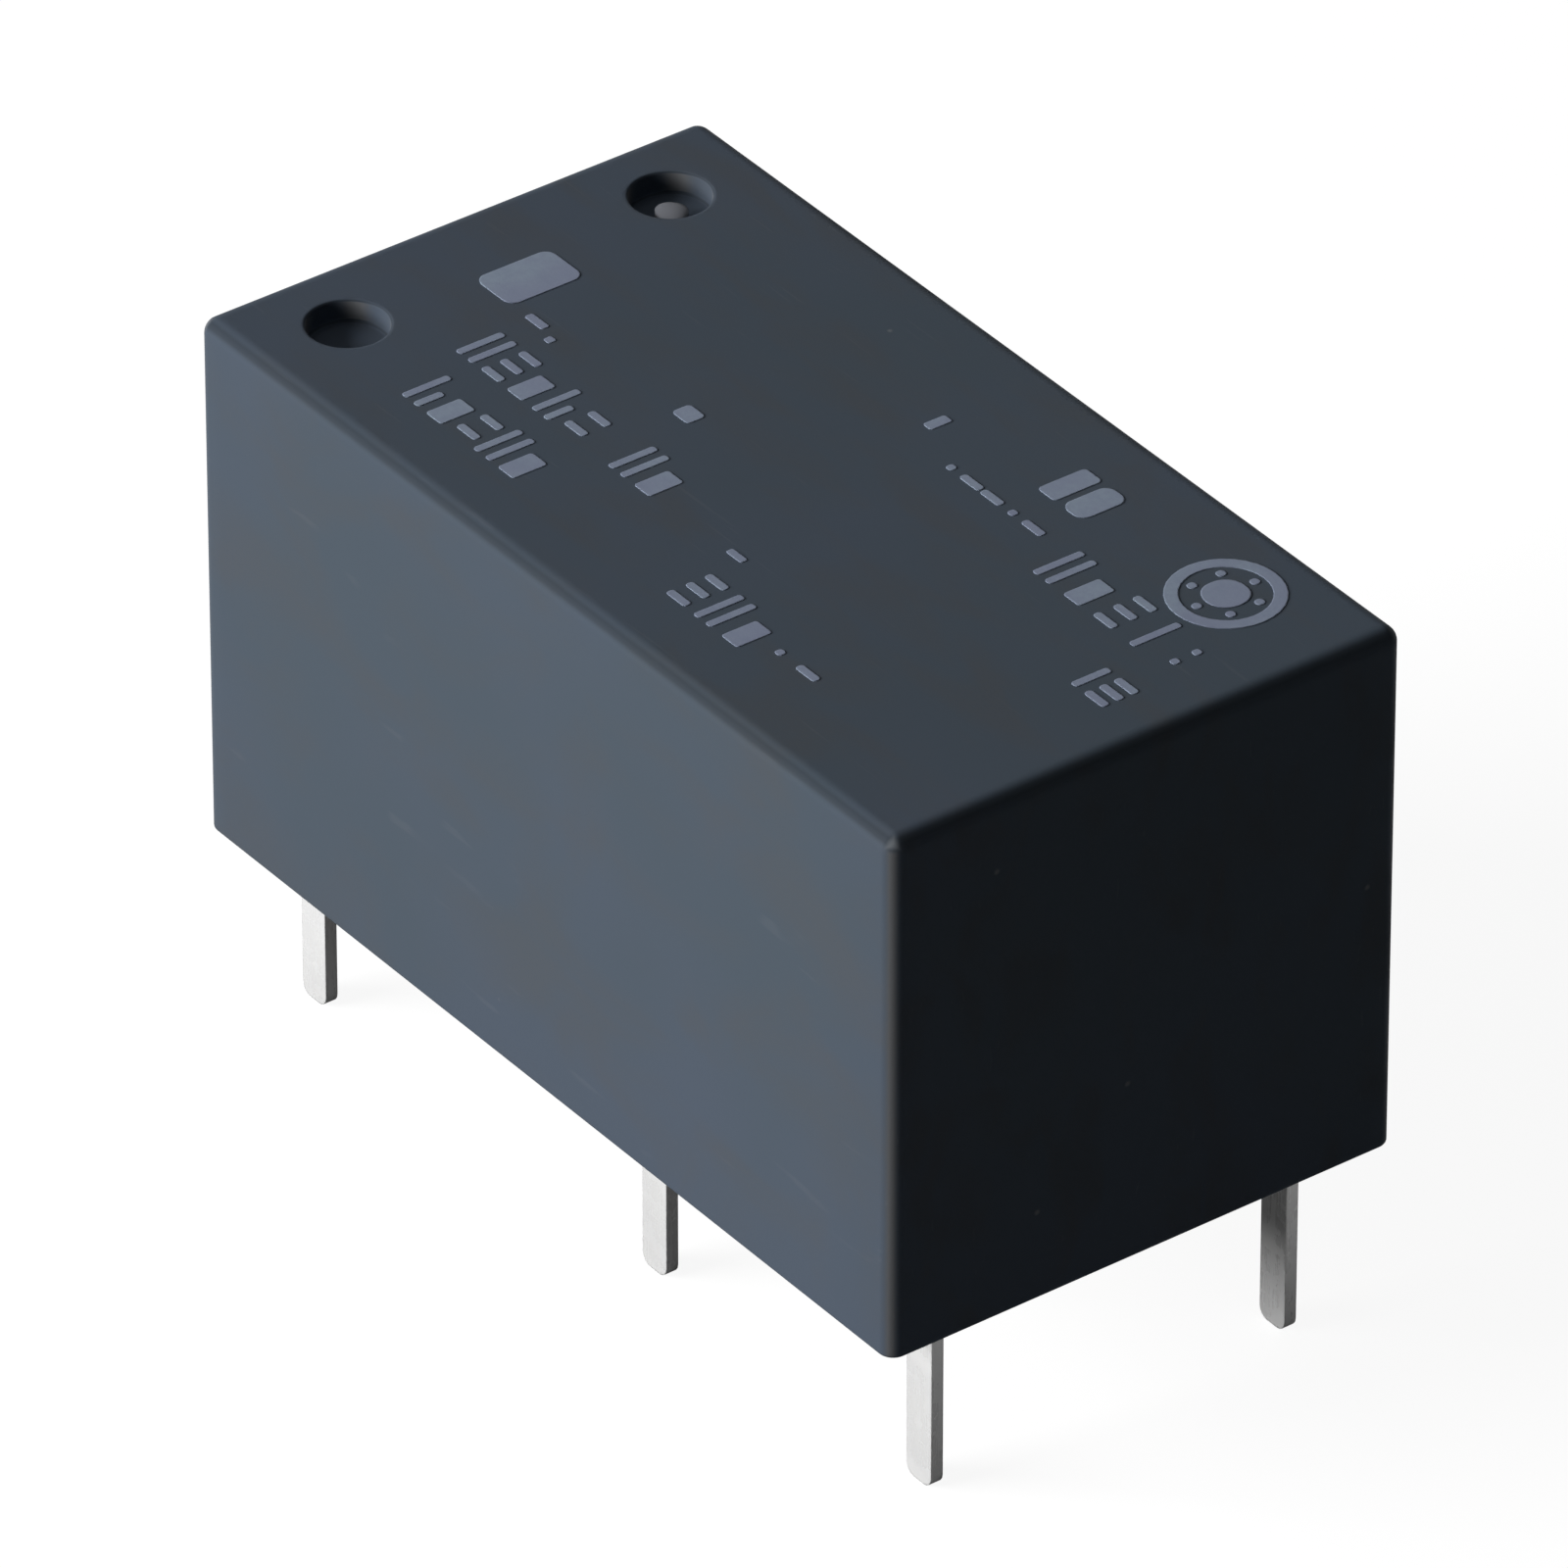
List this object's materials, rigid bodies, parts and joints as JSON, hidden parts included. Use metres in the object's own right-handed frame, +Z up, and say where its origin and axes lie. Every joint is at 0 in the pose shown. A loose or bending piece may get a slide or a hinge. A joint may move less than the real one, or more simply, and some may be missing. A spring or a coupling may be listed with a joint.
{
  "type": "pcb power relay",
  "caption": "Sealed power relay for printed circuits: a closed moulded case on flat solder pins, with a coil, a rocking armature and sprung contacts inside.",
  "frame": {"origin": "centre of the footprint, level with the tips of the pins", "axes": "+X along the case from the coil end to the contact end, +Y across it, +Z up through the top; the board seats against the case's rim at z = 3.75 mm"},
  "size_m": [0.02, 0.0108, 0.0144],
  "materials": {
    "case_moulding": "satin black moulding",
    "base_moulding": "matt black moulding",
    "resin": "cast black resin",
    "plated_iron": "nickel-plated soft iron",
    "bobbin_moulding": "matt moulding",
    "enamelled_copper": "enamelled copper wire",
    "tape": "clear yellow film",
    "card_moulding": "natural moulding",
    "spring_bronze": "rolled bronze strip",
    "spring_steel": "rolled steel strip",
    "contact_silver": "silver alloy",
    "tinned_copper": "tinned copper strip"
  },
  "bodies": {
    "housing": {"case": "case_moulding", "base": "base_moulding", "sealing_resin": "resin", "yoke": "plated_iron", "core": "plated_iron", "bobbin": "bobbin_moulding", "winding": "enamelled_copper", "insulation_tape": "tape", "coil_lead_left": "enamelled_copper", "coil_lead_right": "enamelled_copper", "hinge_spring": "spring_steel", "fixed_terminal_left": "tinned_copper", "fixed_terminal_right": "tinned_copper", "common_terminal_left": "tinned_copper", "common_terminal_right": "tinned_copper", "coil_terminal_left": "tinned_copper", "coil_terminal_right": "tinned_copper", "fixed_contact_left": "contact_silver", "fixed_contact_right": "contact_silver"},
    "armature_group": {"armature": "plated_iron", "pusher_card": "card_moulding"},
    "spring_group_left": {"moving_spring_left": "spring_bronze", "moving_contact_left": "contact_silver"},
    "spring_group_right": {"moving_spring_right": "spring_bronze", "moving_contact_right": "contact_silver"}
  },
  "joints": [
    {"name": "armature_rock", "type": "hinge", "parent": "housing", "child": "armature_group", "pos_m": [0.00106, 0, 0.01281], "axis": [0, 1, 0], "range_deg": [0, 3.2], "stiffness_Nm_per_rad": 0.00015, "springref_deg": -5.73},
    {"name": "spring_bend_left", "type": "hinge", "parent": "housing", "child": "spring_group_left", "pos_m": [0.00269, 0.0032, 0.00931], "axis": [0, 1, 0], "range_deg": [0, 3.74], "stiffness_Nm_per_rad": 0.00001, "springref_deg": -5.73},
    {"name": "spring_bend_right", "type": "hinge", "parent": "housing", "child": "spring_group_right", "pos_m": [0.00269, -0.0032, 0.00931], "axis": [0, 1, 0], "range_deg": [0, 3.74], "stiffness_Nm_per_rad": 0.00001, "springref_deg": -5.73}
  ],
  "couplings": [
    {"joint": "spring_bend_left", "follows": "armature_rock", "ratio": 1.1678},
    {"joint": "spring_bend_right", "follows": "armature_rock", "ratio": 1.1678}
  ]
}
